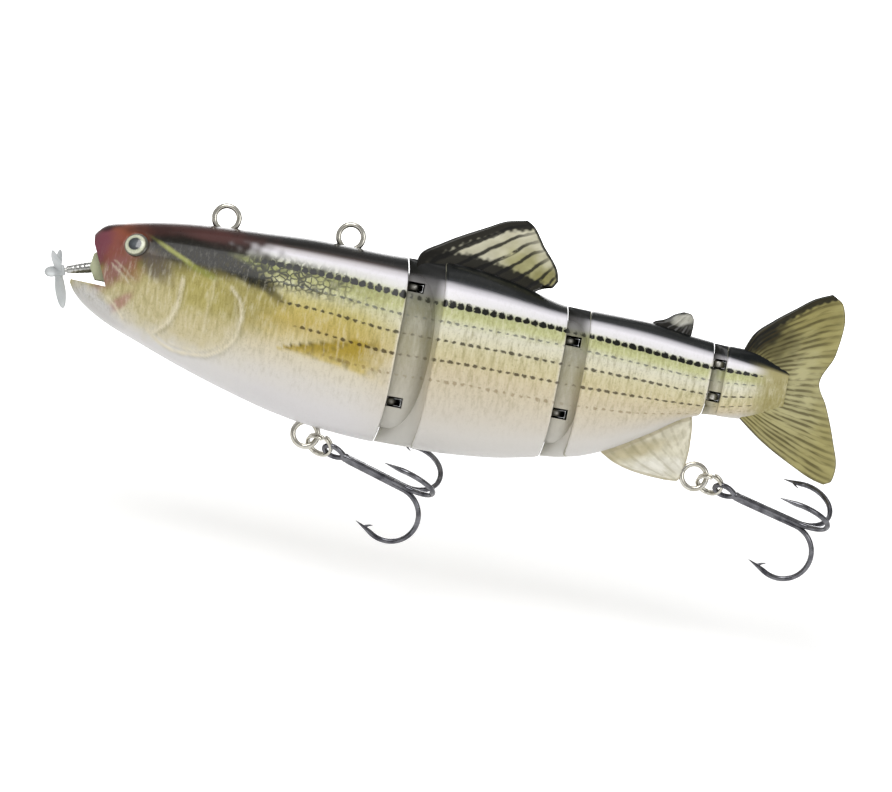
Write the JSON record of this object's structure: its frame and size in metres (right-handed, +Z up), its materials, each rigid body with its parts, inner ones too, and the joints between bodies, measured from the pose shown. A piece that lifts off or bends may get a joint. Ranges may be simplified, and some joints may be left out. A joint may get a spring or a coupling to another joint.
{
  "type": "jointed swimbait fishing lure",
  "caption": "Jointed hard swimbait with hinged body sections, a motor-driven nose propeller, wire line ties and treble hooks on split rings.",
  "frame": {"origin": "centre of the front wire line tie on the back", "axes": "+X aft from nose to tail, +Z up, so the lure's left side faces -Y"},
  "size_m": [0.1354, 0.0188, 0.0568],
  "materials": {
    "battery_wrap": "shrink wrap",
    "black_insulation": "extruded PVC",
    "board_green": "solder mask",
    "can_steel": "drawn steel can",
    "copper": "varnished copper windings",
    "eye_resin": "domed clear resin over a printed iris",
    "ferrite": "sintered ferrite, matt",
    "frosted_plastic": "frosted translucent",
    "hook_nickel": "black nickel",
    "insert_plastic": "moulded, satin",
    "printed_abs": "printed fish-scale film under clear lacquer",
    "red_insulation": "extruded PVC",
    "red_led": "moulded epoxy",
    "rubber": "nitrile",
    "steel": "bright nickel-plated steel"
  },
  "bodies": {
    "head": {"head_shell_left": "printed_abs", "head_shell_right": "printed_abs", "mouth_insert": "insert_plastic", "eye_left": "eye_resin", "eye_right": "eye_resin", "line_tie_front": "steel", "line_tie_rear": "steel", "belly_hanger": "steel", "front_hinge_eye_upper": "steel", "front_hinge_eye_lower": "steel", "head_ballast": "steel", "battery_cell": "battery_wrap", "circuit_board": "board_green", "status_led": "red_led", "shaft_tube": "steel", "shaft_seal": "rubber", "motor_can": "can_steel", "motor_magnet": "ferrite", "motor_end_cap": "black_insulation", "motor_lead_red": "red_insulation", "motor_lead_black": "black_insulation", "battery_lead_red": "red_insulation", "battery_lead_black": "black_insulation", "contact_lead_front": "black_insulation", "contact_lead_rear": "black_insulation"},
    "propeller_shaft": {"propeller": "frosted_plastic", "motor_shaft": "steel", "motor_rotor": "copper"},
    "mid": {"mid_shell_left": "printed_abs", "mid_shell_right": "printed_abs", "front_hinge_pin": "steel", "mid_ballast": "steel", "middle_hinge_eye_upper": "steel", "middle_hinge_eye_lower": "steel"},
    "rear": {"rear_shell_left": "printed_abs", "rear_shell_right": "printed_abs", "middle_hinge_pin": "steel", "rear_hanger": "steel", "tail_hinge_eye_upper": "steel", "tail_hinge_eye_lower": "steel"},
    "tail": {"tail_shell_left": "printed_abs", "tail_shell_right": "printed_abs", "tail_hinge_pin": "steel"},
    "belly_ring": {"belly_split_ring": "steel"},
    "belly_hook": {"belly_treble": "hook_nickel"},
    "rear_ring": {"rear_split_ring": "steel"},
    "rear_hook": {"rear_treble": "hook_nickel"}
  },
  "joints": [
    {"name": "propeller_spin", "type": "hinge", "parent": "head", "child": "propeller_shaft", "pos_m": [-0.0204, 0, -0.0122], "axis": [-0.9563, 0, -0.2924], "continuous": true},
    {"name": "front_hinge", "type": "hinge", "parent": "head", "child": "mid", "pos_m": [0.0323, 0, 0], "axis": [0, 0, 1], "range_deg": [-25, 25]},
    {"name": "middle_hinge", "type": "hinge", "parent": "mid", "child": "rear", "pos_m": [0.0593, 0, 0], "axis": [0, 0, 1], "range_deg": [-25, 25]},
    {"name": "tail_hinge", "type": "hinge", "parent": "rear", "child": "tail", "pos_m": [0.0842, 0, 0], "axis": [0, 0, 1], "range_deg": [-25, 25]},
    {"name": "belly_ring_swing", "type": "hinge", "parent": "head", "child": "belly_ring", "pos_m": [0.0195, 0, -0.03245], "axis": [0, 1, 0], "range_deg": [0, 90]},
    {"name": "belly_hook_swing", "type": "hinge", "parent": "belly_ring", "child": "belly_hook", "pos_m": [0.02411, 0, -0.03429], "axis": [0, 1, 0], "range_deg": [0, 45]},
    {"name": "rear_ring_swing", "type": "hinge", "parent": "rear", "child": "rear_ring", "pos_m": [0.0838, 0, -0.0271], "axis": [0, 1, 0], "range_deg": [0, 90]},
    {"name": "rear_hook_swing", "type": "hinge", "parent": "rear_ring", "child": "rear_hook", "pos_m": [0.08861, 0, -0.02838], "axis": [0, 1, 0], "range_deg": [0, 45]}
  ]
}
